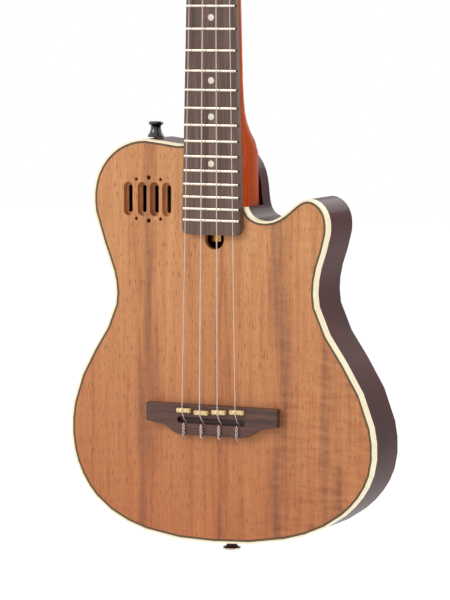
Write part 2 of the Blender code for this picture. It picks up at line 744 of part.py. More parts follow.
def make_fingerboard():
    board = add_part("fingerboard", plate([board_outline()], FIT, BOARD_TOP), ROSEWOOD)
    half_slot = FRET_TANG_WIDTH / 2 + FIT
    depth = BOARD_TOP - FRET_TANG_DEPTH - FIT
    reach = 2 * NUT_HALF_WIDTH
    slots = []
    for number in range(1, FRET_COUNT + 1):
        y = fret_y(number)
        slots.append(box((-reach, y - half_slot, depth), (reach, y + half_slot, BOARD_TOP + FIT)))
        make_fret(number, y)
    combine(board, add_helper("fret_slots", gather(slots)))


def string_x(number, spread):
    return spread * (number / (STRING_COUNT - 1) - 0.5)


def saddle_y(number):
    return -SCALE_LENGTH - COMPENSATION[number]


def make_nut():
    half = NUT_HALF_WIDTH - FIT
    nut = add_part("nut", box((-half, 0, FIT), (half, NUT_LENGTH, NUT_HEIGHT)), BONE)
    slots = []
    for number, radius in enumerate(STRING_RADII):
        x = string_x(number, STRING_SPREAD_NUT)
        room = radius + FIT
        low = (x - room, -FIT, STRING_HEIGHT_NUT - room)
        slots.append(box(low, (x + room, NUT_LENGTH + FIT, NUT_HEIGHT + room)))
    combine(nut, add_helper("nut_slots", gather(slots)))


def bridge_outline():
    """Straight along the top, with two S-curves down to the tie block."""
    wing_y = -SCALE_LENGTH - BRIDGE_WING_BEHIND
    right = [
        (BRIDGE_HALF_LENGTH, BRIDGE_AHEAD - SCALE_LENGTH),
        (BRIDGE_HALF_LENGTH, -SCALE_LENGTH - BRIDGE_TIP_BEHIND),
    ]
    for i in range(9):
        share = i / 8
        ease = (1 - math.cos(math.pi * share)) / 2
        x = BRIDGE_WING_X + (BRIDGE_BLOCK_X - BRIDGE_WING_X) * share
        right.append((x, wing_y + (BLOCK_END_Y - wing_y) * ease))
    return right + [(-x, y) for x, y in reversed(right)]


def make_bridge():
    bridge = add_part("bridge", plate([bridge_outline()], FIT, BRIDGE_TOP), ROSEWOOD)
    upright = stadium(0, 0, CHANNEL_WIDTH, 2 * CHANNEL_HALF_LENGTH)
    outline = [(y, x + (CHANNEL_TOP_Y + CHANNEL_END_Y) / 2) for x, y in upright]
    channel = plate([outline], BRIDGE_TOP - CHANNEL_DEPTH, BRIDGE_TOP + FIT)
    combine(bridge, add_helper("tie_channel", channel))
    pockets = []
    holes = []
    for number, radius in enumerate(STRING_RADII):
        x = string_x(number, STRING_SPREAD_SADDLE)
        y = saddle_y(number)
        half_width = SADDLE_WIDTH / 2 + FIT
        half_length = SADDLE_LENGTH / 2 + FIT
        low = (x - half_width, y - half_length, SADDLE_BASE - FIT)
        pockets.append(box(low, (x + half_width, y + half_length, BRIDGE_TOP + FIT)))
        start = (x, BLOCK_END_Y - FIT, TIE_HOLE_LEVEL)
        end = (x, CHANNEL_END_Y + 2 * FIT, TIE_HOLE_LEVEL)
        holes.append(cylinder(radius + TIE_HOLE_ROOM, start, end, 10))
    combine(bridge, add_helper("saddle_pockets", gather(pockets)))
    combine(bridge, add_helper("tie_holes", gather(holes)))


def make_saddle(number):
    """One string's saddle, with a crest that lies ahead, behind, ahead across its width."""
    x = string_x(number, STRING_SPREAD_SADDLE)
    half_width = SADDLE_WIDTH / 2
    half_length = SADDLE_LENGTH / 2
    shoulder = SADDLE_HEIGHT - 1.2 * MM
    crest_share = [0.55, 0.55, -0.55, -0.55, 0.0, 0.0, -0.55, -0.55, 0.55, 0.55]
    places = [-1.0, -0.62, -0.54, -0.2, -0.12, 0.12, 0.2, 0.54, 0.62, 1.0]
    sections = []
    for place, crest in zip(places, crest_share):
        across = x + place * half_width
        ridge = crest * half_length
        sections.append(
            [
                (across, saddle_y(number) - half_length, SADDLE_BASE),
                (across, saddle_y(number) + half_length, SADDLE_BASE),
                (across, saddle_y(number) + half_length, shoulder),
                (across, saddle_y(number) + ridge, SADDLE_HEIGHT),
                (across, saddle_y(number) - half_length, shoulder),
            ]
        )
    add_part(f"saddle_{number + 1}", loft(sections), BONE)


def head_to_neck(point):
    """A point in the head's own plane, in the instrument's coordinates."""
    turn = Matrix.Rotation(-HEAD_TILT, 4, "X")
    return Matrix.Translation((0, HEAD_START_Y, 0)) @ turn @ Vector(point)


def wrap_points(number, radius):
    """The turns on the post, from the free end down to where the string leaves for the nut."""
    side = -1 if number < STRING_COUNT / 2 else 1
    row = POST_ROWS[0] if number in (0, STRING_COUNT - 1) else POST_ROWS[1]
    wrap_radius = POST_RADIUS + FIT + radius
    ahead = string_x(number, STRING_SPREAD_NUT) - side * POST_X
    reach = math.hypot(ahead, row)
    leave = math.atan2(-row, ahead) - side * math.acos(wrap_radius / reach)
    rise = 2 * radius + WRAP_GAP
    steps = WRAP_TURNS * WRAP_STEPS
    points = []
    for i in range(steps, -1, -1):
        turns = i / WRAP_STEPS
        angle = leave - side * math.tau * turns
        x = side * POST_X + wrap_radius * math.cos(angle)
        y = row + wrap_radius * math.sin(angle)
        points.append((x, y, WRAP_LEVEL + rise * turns))
    first = Vector(points[0])
    tangent = (first - Vector(points[1])).normalized()
    tail = first + tangent * 2 * radius
    return [head_to_neck(point) for point in [tail, *points]]


def tie_points(number, radius):
    """Over the saddle, through the tie block and back over it as a twisted pair."""
    x = string_x(number, STRING_SPREAD_SADDLE)
    y = saddle_y(number)
    crown = SADDLE_HEIGHT + FIT + radius
    outside = BLOCK_END_Y - FIT - radius
    axis_z = BRIDGE_TOP + FIT + radius + TWIST_RADIUS
    points = [
        (x, y + SADDLE_LENGTH / 2, crown),
        (x, y - SADDLE_LENGTH / 3, crown),
        (x, CHANNEL_TOP_Y - 1.2 * MM, BRIDGE_TOP + 0.9 * MM),
        (x, CHANNEL_END_Y + 1.5 * MM, TIE_HOLE_LEVEL + 1.1 * MM),
        (x, CHANNEL_END_Y + 0.5 * MM, TIE_HOLE_LEVEL + 0.2 * MM),
        (x, CHANNEL_END_Y, TIE_HOLE_LEVEL),
        (x, outside + radius, TIE_HOLE_LEVEL),
    ]
    turn_radius = (axis_z + TWIST_RADIUS - TIE_HOLE_LEVEL) / 2
    for degrees in range(-75, 76, 25):
        angle = math.radians(degrees)
        bulge = 0.45 * turn_radius * math.cos(angle)
        points.append((x, outside - bulge, TIE_HOLE_LEVEL + turn_radius * (1 + math.sin(angle))))
    start = BLOCK_END_Y + 3 * radius
    end = CHANNEL_END_Y - 2 * radius
    steps = round(TWIST_TURNS * TWIST_STEPS)
    pair = []
    for i in range(steps + 1):
        share = i / steps
        angle = math.pi / 2 + math.tau * TWIST_TURNS * share
        pair.append((share, math.cos(angle), math.sin(angle)))
    for share, across, up in pair:
        place = start + (end - start) * share
        points.append((x + TWIST_RADIUS * across, place, axis_z + TWIST_RADIUS * up))
    for degrees in range(40, 141, 50):
        angle = math.radians(degrees)
        swing = TWIST_RADIUS * math.cos(angle)
        ahead = TWIST_RADIUS * math.sin(angle)
        points.append((x + swing * across, end + ahead, axis_z + swing * up))
    for share, across, up in reversed(pair):
        place = start + (end - start) * share
        points.append((x - TWIST_RADIUS * across, place, axis_z - TWIST_RADIUS * up))
    last = Vector(points[-1])
    tangent = (last - Vector(points[-2])).normalized()
    points.append(tuple(last + tangent * 2 * radius))
    return points


def least_gap(points, radius):
    """Smallest space between parts of one string that are not neighbours along it."""
    places = np.array([tuple(point) for point in points])
    steps = np.linalg.norm(np.diff(places, axis=0), axis=1)
    along = np.concatenate([[0.0], np.cumsum(steps)])
    least = 1.0
    for i, place in enumerate(places):
        apart = np.abs(along - along[i]) > 5 * radius
        if apart.any():
            least = min(least, float(np.min(np.linalg.norm(places[apart] - place, axis=1))))
    return least - 2 * radius


def make_string(number):
    radius = STRING_RADII[number]
    x = string_x(number, STRING_SPREAD_NUT)
    points = wrap_points(number, radius)
    points += [(x, NUT_LENGTH, STRING_HEIGHT_NUT), (x, 0, STRING_HEIGHT_NUT)]
    points += tie_points(number, radius)
    add_part(f"string_{number + 1}", tube(points, radius), NYLON)
    print(f"string_{number + 1}: least gap to itself {least_gap(points, radius) / MM:.2f} mm")


def gear_outline(turn):
    """Teeth with straight flanks, one of them pointing at the worm."""
    tip = GEAR_PITCH_RADIUS + TOOTH_HEIGHT
    root = GEAR_PITCH_RADIUS - TOOTH_ROOT
    half_tip = (TOOTH_THICKNESS - 0.4 * MM) / 2 / tip
    half_root = (TOOTH_THICKNESS + 0.4 * MM) / 2 / root
    points = []
    for tooth in range(GEAR_TEETH):
        middle = -math.pi / 2 + math.tau * tooth / GEAR_TEETH + turn
        for radius, angle in ((root, -half_root), (tip, -half_tip), (tip, half_tip), (root, half_root)):
            points.append((radius * math.cos(middle + angle), radius * math.sin(middle + angle)))
    return points


def make_post(name, side, row):
    """String post and worm wheel, turning together."""
    top = POST_HEIGHT
    profile = [
        (0, top),
        (POST_RADIUS - 0.8 * MM, top),
        (POST_RADIUS, top - 0.8 * MM),
        (POST_RADIUS, WORM_LEVEL),
        (0, WORM_LEVEL),
    ]
    post = turned(name, profile, NICKEL, HEAD, (side * POST_X, row, 0), (0, 0, 0), 16)
    lead = math.atan2(WORM_PITCH, math.tau * WORM_PITCH_RADIUS)
    twist = side * math.tan(lead) * GEAR_THICKNESS / 2 / GEAR_PITCH_RADIUS
    levels = ((WORM_LEVEL - GEAR_THICKNESS / 2, -twist), (WORM_LEVEL + GEAR_THICKNESS / 2, twist))
    rings = [[(x, y, level) for x, y in gear_outline(turn)] for level, turn in levels]
    gear = add_helper(name + "_gear", loft(rings), HEAD, (side * POST_X, row, 0))
    combine(post, gear, "UNION")
    under = WORM_LEVEL - GEAR_THICKNESS / 2
    head = cylinder(2.1 * MM, (0, 0, under - 1.3 * MM), (0, 0, under + FIT), 12)
    combine(post, add_helper(name + "_screw", head, HEAD, (side * POST_X, row, 0)), "UNION")
    through = Vector((0, 2 * POST_RADIUS, 0))
    middle = Vector((0, 0, POST_HOLE_LEVEL))
    eye = cylinder(POST_HOLE_RADIUS, middle - through, middle + through, 8)
    combine(post, add_helper(name + "_eye", eye, HEAD, (side * POST_X, row, 0)))


def worm_thread(side):
    """The worm's thread as a wedge wound round the shaft, a gap of it facing the gear's tooth."""
    steps = round(WORM_TURNS * WORM_STEPS)
    inner = WORM_ROOT_RADIUS - FIT
    profile = [
        (-THREAD_ROOT / 2, inner),
        (-THREAD_CREST / 2, WORM_CREST_RADIUS),
        (THREAD_CREST / 2, WORM_CREST_RADIUS),
        (THREAD_ROOT / 2, inner),
    ]
    sections = []
    for i in range(steps + 1):
        turns = i / WORM_STEPS - WORM_TURNS / 2
        along = WORM_PITCH * turns
        angle = side * math.tau * (turns + 0.5)
        ring = []
        for step, radius in profile:
            ring.append((along + step, radius * math.cos(angle), radius * math.sin(angle)))
        sections.append(ring)
    return loft(sections)


def make_button(name, side, row):
    """Worm, shaft and finger button in one, lying across the head's back."""
    place = (side * POST_X, row - WORM_OFFSET, WORM_LEVEL)
    inner_end = -side * (LUG_CENTRE + LUG_THICKNESS)
    outer_end = side * (BUTTON_CENTRE - BUTTON_SIZE[0] / 4)
    shaft = cylinder(SHAFT_RADIUS, (inner_end, 0, 0), (outer_end, 0, 0), 12)
    button = add_part(name, shaft, PEARL, HEAD, place)
    between = LUG_CENTRE - LUG_THICKNESS / 2 - FIT
    root = cylinder(WORM_ROOT_RADIUS, (-between, 0, 0), (between, 0, 0), 12)
    start = side * (LUG_CENTRE + LUG_THICKNESS / 2 + FIT)
    collar = cylinder(COLLAR_RADIUS, (start, 0, 0), (outer_end, 0, 0), 12)
    knob = bpy.data.meshes.new("knob")
    scale = Matrix.Diagonal((*BUTTON_SIZE, 1.0))
    matrix = Matrix.Translation((side * BUTTON_CENTRE, 0, 0)) @ scale
    edit(
        knob,
        lambda work: bmesh.ops.create_uvsphere(work, u_segments=12, v_segments=7, radius=0.5, matrix=matrix),
    )
    shapes = {"_root": root, "_thread": worm_thread(side), "_collar": collar, "_knob": smooth(knob)}
    for suffix, data in shapes.items():
        combine(button, add_helper(name + suffix, data, HEAD, place), "UNION")


def make_tuner_plate(name, side, row):
    """Base plate on the head's back, with two lugs that carry the worm's shaft."""
    top = -HEAD_THICKNESS - FIT
    under = top - PLATE_THICKNESS
    low = (-PLATE_HALF_WIDTH, -PLATE_BELOW, under)
    place = (side * POST_X, row, 0)
    base = add_part(name, box(low, (PLATE_HALF_WIDTH, PLATE_ABOVE, top)), NICKEL, HEAD, place)
    lugs = []
    for end in (-1, 1):
        middle = end * LUG_CENTRE
        low = (middle - LUG_THICKNESS / 2, -WORM_OFFSET - LUG_HALF_HEIGHT, WORM_LEVEL - LUG_HALF_HEIGHT)
        high = (middle + LUG_THICKNESS / 2, -WORM_OFFSET + LUG_HALF_HEIGHT, under + PLATE_THICKNESS / 2)
        lugs.append(box(low, high))
    combine(base, add_helper(name + "_lugs", gather(lugs), HEAD, place), "UNION")
    reach = LUG_CENTRE + LUG_THICKNESS
    middle = Vector((0, -WORM_OFFSET, WORM_LEVEL))
    along = Vector((reach, 0, 0))
    shaft = cylinder(SHAFT_RADIUS + TURN_FIT, middle - along, middle + along, 12)
    post = cylinder(POST_RADIUS + TURN_FIT, (0, 0, under - FIT), (0, 0, top + FIT), 16)
    combine(base, add_helper(name + "_bores", gather([shaft, post]), HEAD, place))


def make_tuners():
    number = 0
    for side in (-1, 1):
        for row in POST_ROWS:
            number += 1
            make_post(f"tuner_post_{number}", side, row)
            make_button(f"tuner_button_{number}", side, row)
            make_tuner_plate(f"tuner_plate_{number}", side, row)


def with_screw(profile):
    """A strap button's profile in metres, closed through its wood screw."""
    scaled = [(radius * MM, height * MM) for radius, height in profile]
    tip = [(SCREW_RADIUS, 0), (SCREW_RADIUS, 2 * MM - SCREW_LENGTH), (0, -SCREW_LENGTH)]
    return [(0, scaled[0][1]), *scaled, *tip]


def make_strap_buttons(body):
    shoulder_y = crossings(BODY_LINE, 0, SHOULDER_BUTTON_X)[-1]
    end_y = crossings(BODY_LINE, 0, END_BUTTON_X)[0]
    hole = SCREW_RADIUS + FIT
    depth = SCREW_LENGTH + FIT
    shoulder = (SHOULDER_BUTTON_X, shoulder_y + 2 * FIT, HARDWARE_LEVEL)
    end = (END_BUTTON_X, end_y - 2 * FIT, HARDWARE_LEVEL)
    up = (math.radians(-90.0), 0, 0)
    down = (math.radians(90.0), 0, 0)
    turned("strap_button_shoulder", with_screw(SHOULDER_PROFILE), BLACK, STAND, shoulder, up)
    turned("strap_button_end", with_screw(END_PROFILE), NICKEL, STAND, end, down)
    for name, place, turn in (("shoulder", shoulder, up), ("end", end, down)):
        drill = cylinder(hole, (0, 0, -depth), (0, 0, 2 * MM), 12)
        combine(body, add_helper(name + "_screw_hole", drill, STAND, place, turn))


def make_jack(body):
    """Output jack let into the bass side of the lower bout."""
    surface = crossings(BODY_LINE, 1, JACK_Y)[0]
    place = (surface + 1.0 * MM, JACK_Y, HARDWARE_LEVEL)
    turn = (0, math.radians(-90.0), 0)
    flange = JACK_FLANGE_RADIUS
    bush_end = -SIDE_WALL - 1.0 * MM
    profile = [
        (0, 4 * MM - JACK_LENGTH),
        (JACK_BORE_RADIUS, 4 * MM - JACK_LENGTH),
        (JACK_BORE_RADIUS, 1.8 * MM),
        (JACK_BORE_RADIUS + 1.4 * MM, 1.8 * MM),
        (JACK_BORE_RADIUS + 2.2 * MM, 1.0 * MM),
        (flange - 0.8 * MM, 0.9 * MM),
        (flange, 0.3 * MM),
        (flange, FIT - 1.0 * MM),
        (JACK_BUSH_RADIUS, FIT - 1.0 * MM),
        (JACK_BUSH_RADIUS, bush_end),
        (JACK_BUSH_RADIUS + 1.0 * MM, bush_end),
        (JACK_BUSH_RADIUS + 1.0 * MM, -JACK_LENGTH),
        (0, -JACK_LENGTH),
    ]
    turned("output_jack", profile, NICKEL, STAND, place, turn)
    seat = cylinder(flange + FIT, (0, 0, -1.0 * MM), (0, 0, 4 * MM))
    combine(body, add_helper("jack_seat", seat, STAND, place, turn))
    through = cylinder(JACK_BUSH_RADIUS + 1.0 * MM + FIT, (0, 0, -SIDE_WALL - 8 * MM), (0, 0, 1 * MM))
    combine(body, add_helper("jack_hole", through, STAND, place, turn))


def make_preamp(body):
    """Preamp case let into the bass side at the waist, with three knobs."""
    half = PREAMP_LENGTH / 2
    upper = Vector((crossings(BODY_LINE, 1, PREAMP_Y + half)[0], PREAMP_Y + half))
    lower = Vector((crossings(BODY_LINE, 1, PREAMP_Y - half)[0], PREAMP_Y - half))
    middle = (upper + lower) / 2
    down = (lower - upper).normalized()
    heading = math.atan2(down.y, down.x)
    frame = new_empty("preamp_frame", STAND, (*middle, HARDWARE_LEVEL), (0, 0, heading))
    turn = new_empty("preamp_face", frame, (0, 0, 0), (math.radians(90.0), 0, 0))
    outer = -0.4 * MM
    inner = outer - PREAMP_FLANGE
    edge = PREAMP_WIDTH / 2
    narrow = edge - PREAMP_FLANGE_EDGE
    short = half - PREAMP_FLANGE_EDGE
    case = add_part("preamp_case", box((-half, -edge, inner), (half, edge, outer)), BLACK, turn)
    block = box((-short, -narrow, -PREAMP_DEPTH), (short, narrow, (inner + outer) / 2))
    combine(case, add_helper("preamp_block", block, turn), "UNION")
    wells = []
    for number, name in enumerate(("volume", "bass", "treble")):
        x = KNOB_SPACING * (number - 1)
        wells.append(cylinder(KNOB_SHAFT_RADIUS + TURN_FIT, (x, 0, -KNOB_SHAFT_LENGTH - FIT), (x, 0, MM), 14))
        low = outer + FIT
        profile = [
            (0, KNOB_HEIGHT),
            (KNOB_RADIUS - 0.9 * MM, KNOB_HEIGHT),
            (KNOB_RADIUS - 0.3 * MM, KNOB_HEIGHT - 0.6 * MM),
            (KNOB_RADIUS, low),
            (KNOB_SHAFT_RADIUS, low),
            (KNOB_SHAFT_RADIUS, -KNOB_SHAFT_LENGTH),
            (0, -KNOB_SHAFT_LENGTH),
        ]
        turned("preamp_knob_" + name, profile, BLACK, turn, (x, 0, 0), (0, 0, 0), 16)
    combine(case, add_helper("knob_wells", gather(wells), turn))
    rebate = box((-half - FIT, -edge - FIT, inner - FIT), (half + FIT, edge + FIT, 6 * MM))
    combine(body, add_helper("preamp_rebate", rebate, turn))
    room = box((-short - FIT, -narrow - FIT, -PREAMP_DEPTH - FIT), (short + FIT, narrow + FIT, 0))
    combine(body, add_helper("preamp_room", room, turn))


def make_battery(body):
    """Battery bay in the back, its battery and its hinged door."""
    outside = -BODY_DEPTH
    inside = outside + DOOR_THICKNESS
    hinge_y = DOOR_END_Y + DOOR_THICKNESS / 2
    hinge_z = outside + DOOR_THICKNESS / 2
    half = DOOR_HALF_WIDTH
    leaf = box((-half, 0, -DOOR_THICKNESS / 2), (half, DOOR_TOP_Y - hinge_y, DOOR_THICKNESS / 2))
    door = add_part("battery_door", leaf, BLACK, location=(0, hinge_y, hinge_z))
    barrel = cylinder(DOOR_THICKNESS / 2, (-half, 0, 0), (half, 0, 0), 16)
    combine(door, add_helper("door_barrel", barrel, location=(0, hinge_y, hinge_z)), "UNION")
    rebate = box((-half - FIT, DOOR_END_Y - FIT, outside - MM), (half + FIT, DOOR_TOP_Y + FIT, inside + FIT))
    combine(body, add_helper("door_rebate", rebate))
    middle = (DOOR_TOP_Y + DOOR_END_Y) / 2
    length = BATTERY_LENGTH + TERMINAL_LENGTH
    low = (-BATTERY_WIDTH / 2, middle - length / 2, inside + FIT)
    top = low[1] + BATTERY_LENGTH
    high = (BATTERY_WIDTH / 2, top, low[2] + BATTERY_DEPTH)
    battery = add_part("battery", box(low, high), BLACK)
    level = (low[2] + high[2]) / 2
    studs = []
    for side in (-1, 1):
        x = side * TERMINAL_SPACING / 2
        studs.append(cylinder(TERMINAL_RADIUS, (x, top - MM, level), (x, top + TERMINAL_LENGTH, level), 12))
    combine(battery, add_helper("battery_studs", gather(studs)), "UNION")
    bay_low = (low[0] - FIT, low[1] - FIT, outside)
    bay_high = (high[0] + FIT, top + TERMINAL_LENGTH + FIT, high[2] + FIT)
    combine(body, add_helper("battery_bay", box(bay_low, bay_high)))


def make_neck_bolts(body, neck):
    head_seat = -BODY_DEPTH + BOLT_HEAD_HEIGHT + FIT
    tip = BOLT_LENGTH - BODY_DEPTH
    for number, y in enumerate(BOLT_ROWS, 1):
        profile = [
            (0, 0),
            (BOLT_HEAD_RADIUS - 1.2 * MM, 0),
            (BOLT_HEAD_RADIUS, -1.0 * MM),
            (BOLT_HEAD_RADIUS, -BOLT_HEAD_HEIGHT),
            (BOLT_RADIUS, -BOLT_HEAD_HEIGHT),
            (BOLT_RADIUS, -BOLT_LENGTH),
            (0, -BOLT_LENGTH),
        ]
        turn = (math.radians(180.0), 0, 0)
        turned(f"neck_bolt_{number}", profile, NICKEL, STAND, (0, y, -BODY_DEPTH), turn, 16)
        sink = cylinder(BOLT_HEAD_RADIUS + FIT, (0, y, -BODY_DEPTH - MM), (0, y, head_seat))
        hole = cylinder(BOLT_RADIUS + FIT, (0, y, -BODY_DEPTH), (0, y, tip + FIT), 14)
        combine(body, add_helper(f"bolt_sink_{number}", sink))
        combine(body, add_helper(f"bolt_body_hole_{number}", hole))
        combine(neck, add_helper(f"bolt_neck_hole_{number}", hole.copy()))


def main():
    body = make_body()
    make_top()
    make_edging()
    neck = make_neck()
    make_truss_rod()
    make_fingerboard()
    make_nut()
    make_bridge()
    for number in range(STRING_COUNT):
        make_saddle(number)
        make_string(number)
    make_tuners()
    make_strap_buttons(body)
    make_jack(body)
    make_preamp(body)
    make_battery(body)
    make_neck_bolts(body, neck)


main()
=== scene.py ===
# %% [markdown]
# A tenor ukulele, dressed for its portrait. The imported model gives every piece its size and
# place; this script gives each one its finish, its softened edges and its small trim. All
# lengths are in metres, the head points along +Z and the face looks along -Y.

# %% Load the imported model
import json
import math

import bmesh
import bpy
from mathutils import Matrix, Vector

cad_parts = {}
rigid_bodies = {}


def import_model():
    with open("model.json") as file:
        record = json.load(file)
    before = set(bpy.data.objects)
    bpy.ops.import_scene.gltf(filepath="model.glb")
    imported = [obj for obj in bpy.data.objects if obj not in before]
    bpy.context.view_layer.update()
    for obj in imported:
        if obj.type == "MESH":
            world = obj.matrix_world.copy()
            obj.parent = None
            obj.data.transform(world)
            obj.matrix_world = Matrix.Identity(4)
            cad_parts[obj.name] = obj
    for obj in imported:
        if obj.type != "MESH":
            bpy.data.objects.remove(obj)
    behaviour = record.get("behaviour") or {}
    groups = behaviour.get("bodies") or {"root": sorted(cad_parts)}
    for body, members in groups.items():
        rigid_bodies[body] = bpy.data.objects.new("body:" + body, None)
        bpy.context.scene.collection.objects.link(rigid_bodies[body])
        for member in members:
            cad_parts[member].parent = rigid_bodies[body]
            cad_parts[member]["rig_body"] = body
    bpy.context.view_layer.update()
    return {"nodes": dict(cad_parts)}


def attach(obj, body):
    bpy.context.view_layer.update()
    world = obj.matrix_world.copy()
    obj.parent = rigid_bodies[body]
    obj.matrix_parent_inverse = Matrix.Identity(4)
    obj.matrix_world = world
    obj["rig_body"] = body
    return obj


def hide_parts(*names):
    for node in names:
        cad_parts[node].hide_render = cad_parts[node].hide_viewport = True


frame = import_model()
MM = 0.001

# %% [markdown]
# The camera stands to the treble side and a little above the bridge, far back with a long lens,
# so the instrument shows little perspective. The lens axis is pitched down instead of shifted,
# which keeps the same framing when the camera is moved round the instrument for other views.

# %% Camera
CAMERA_PLACE = Vector((0.984, -2.091, -0.121))
CAMERA_TURN = math.radians(25.0)
CAMERA_PITCH = math.radians(5.62)
CAMERA_LENS_MM = 183.8
CAMERA_SENSOR_MM = 36.0
CAMERA_SIGHT = 50.0

camera_data = bpy.data.cameras.new("camera")
camera_data.lens = CAMERA_LENS_MM
camera_data.sensor_width = CAMERA_SENSOR_MM
camera_data.clip_end = CAMERA_SIGHT
camera = bpy.data.objects.new("camera", camera_data)
bpy.context.scene.collection.objects.link(camera)
camera.location = CAMERA_PLACE
level = math.cos(CAMERA_PITCH)
look = Vector((
    -math.sin(CAMERA_TURN) * level, math.cos(CAMERA_TURN) * level, -math.sin(CAMERA_PITCH),
))
camera.rotation_euler = look.to_track_quat("-Z", "Y").to_euler()
bpy.context.scene.camera = camera
print("camera looks along", tuple(round(c, 3) for c in look))

# %% [markdown]
# A product portrait wants soft light with a direction: a large lamp high on the left gives the
# top its even glow, a tall narrow one on the right lights the side, one behind lights the back,
# and the world fills the rest. The camera, reflections and clear things see a white world, and
# matt surfaces are lit by a grey one. So the background is white without washing out the wood.

# %% Light
WORLD_FILL = 0.62
KEY_WATTS = 30.0
SIDE_WATTS = 7.0
BACK_WATTS = 9.0


def add_lamp(name, place, aim, size, watts):
    data = bpy.data.lights.new(name, "AREA")
    data.shape = "RECTANGLE"
    data.size = size[0]
    data.size_y = size[1]
    data.energy = watts
    lamp = bpy.data.objects.new(name, data)
    bpy.context.scene.collection.objects.link(lamp)
    lamp.location = place
    lamp.rotation_euler = (Vector(aim) - Vector(place)).to_track_quat("-Z", "Y").to_euler()


add_lamp("key", (-1.3, -1.7, 0.9), (0, 0, -0.35), (1.2, 1.2), KEY_WATTS)
add_lamp("side", (1.5, -0.1, 0.1), (0, 0, -0.35), (0.35, 1.6), SIDE_WATTS)
add_lamp("back", (0.3, 1.8, 0.7), (0, 0, -0.3), (1.4, 1.0), BACK_WATTS)

world = bpy.data.worlds.new("studio")
bpy.context.scene.world = world
world.use_nodes = True
tree = world.node_tree
tree.nodes.clear()
rays = tree.nodes.new("ShaderNodeLightPath")
seen_clear = tree.nodes.new("ShaderNodeMath")
seen_clear.operation = "MAXIMUM"
tree.links.new(rays.outputs["Is Camera Ray"], seen_clear.inputs[0])
tree.links.new(rays.outputs["Is Transmission Ray"], seen_clear.inputs[1])
seen = tree.nodes.new("ShaderNodeMath")
seen.operation = "MAXIMUM"
tree.links.new(seen_clear.outputs[0], seen.inputs[0])
tree.links.new(rays.outputs["Is Glossy Ray"], seen.inputs[1])
white = tree.nodes.new("ShaderNodeBackground")
white.inputs["Color"].default_value = (1, 1, 1, 1)
fill = tree.nodes.new("ShaderNodeBackground")
fill.inputs["Color"].default_value = (1, 1, 1, 1)
fill.inputs["Strength"].default_value = WORLD_FILL
mix = tree.nodes.new("ShaderNodeMixShader")
tree.links.new(seen.outputs[0], mix.inputs["Fac"])
tree.links.new(fill.outputs[0], mix.inputs[1])
tree.links.new(white.outputs[0], mix.inputs[2])
out = tree.nodes.new("ShaderNodeOutputWorld")
tree.links.new(mix.outputs[0], out.inputs["Surface"])
view = bpy.context.scene.view_settings
view.view_transform = "Standard"

# %% [markdown]
# Materials are small node trees. Writing each one by hand would bury the recipe in wiring, so
# these helpers add a node, link whatever is given to its sockets and hand back its output. A
# value given as a number is set on the socket, and one given as an output is linked to it.

# %% Node helpers


class Recipe:
    """One material's node tree, with a Principled shader at its end."""

    def __init__(self, name):
        self.material = bpy.data.materials.new(name)
        self.material.use_nodes = True
        self.tree = self.material.node_tree
        self.shader = self.tree.nodes["Principled BSDF"]
        self.place = self.add("ShaderNodeTexCoord").outputs["Object"]

    def add(self, kind, inputs=None, **settings):
        node = self.tree.nodes.new(kind)
        for key, value in settings.items():
            setattr(node, key, value)
        for key, value in (inputs or {}).items():
            self.feed(node.inputs[key], value)
        return node

    def feed(self, socket, value):
        if isinstance(value, bpy.types.NodeSocket):
            self.tree.links.new(value, socket)
        else:
            socket.default_value = value

    def stretched(self, scale):
        """The place on the piece, scaled along each axis by its own amount."""
        return self.add("ShaderNodeMapping", {"Vector": self.place, "Scale": scale}).outputs[0]

    def noise(self, scale, size, detail=3.0, roughness=0.55, distortion=0.0):
        inputs = {"Scale": size, "Detail": detail, "Roughness": roughness}
        inputs.update({"Distortion": distortion, "Vector": self.stretched(scale)})
        return self.add("ShaderNodeTexNoise", inputs).outputs["Fac"]

    def spread(self, value, low, high, to_low=0.0, to_high=1.0):
        inputs = {"Value": value, "From Min": low, "From Max": high}
        inputs.update({"To Min": to_low, "To Max": to_high})
        return self.add("ShaderNodeMapRange", inputs).outputs[0]

    def calc(self, a, b, operation="ADD"):
        node = self.add("ShaderNodeMath", operation=operation)
        self.feed(node.inputs[0], a)
        self.feed(node.inputs[1], b)
        return node.outputs[0]

    def blend(self, share, first, second, kind="MIX"):
        node = self.add("ShaderNodeMix", data_type="RGBA", blend_type=kind)
        self.feed(node.inputs[0], share)
        for socket, colour in ((node.inputs[6], first), (node.inputs[7], second)):
            if not isinstance(colour, bpy.types.NodeSocket):
                colour = (*colour, 1.0)
            self.feed(socket, colour)
        return node.outputs[2]

    def bump(self, height, depth, strength):
        inputs = {"Height": height, "Distance": depth, "Strength": strength}
        self.feed(self.shader.inputs["Normal"], self.add("ShaderNodeBump", inputs).outputs[0])

    def finish(self, **values):
        """Set the shader's own sockets, spaces in their names written as underscores."""
        for key, value in values.items():
            socket = self.shader.inputs[key.replace("_", " ")]
            if isinstance(value, tuple) and len(value) == 3:
                value = (*value, 1.0)
            self.feed(socket, value)
        return self.material


def linear(value):
    """One screen value, 0 to 255, as the linear value that a shader takes."""
    return ((value / 255 + 0.055) / 1.055) ** 2.4 if value > 10 else value / 3295


def rgb(red, green, blue):
    return (linear(red), linear(green), linear(blue))


print("white is", rgb(255, 255, 255))

# %% [markdown]
# The top is a hardwood with straight upright grain: wide honey and brown streaks, fine fibres,
# short dark pores and, on the right, a faint ripple across the grain. Bands, fibres and pores
# are noise stretched along Z, each by its own amount, and the ripple is noise stretched across
# the top. The wide dark streaks have set places, so they are a ramp of greys across X, written
# as pairs of a place and a strength, whose position wanders a little with height.

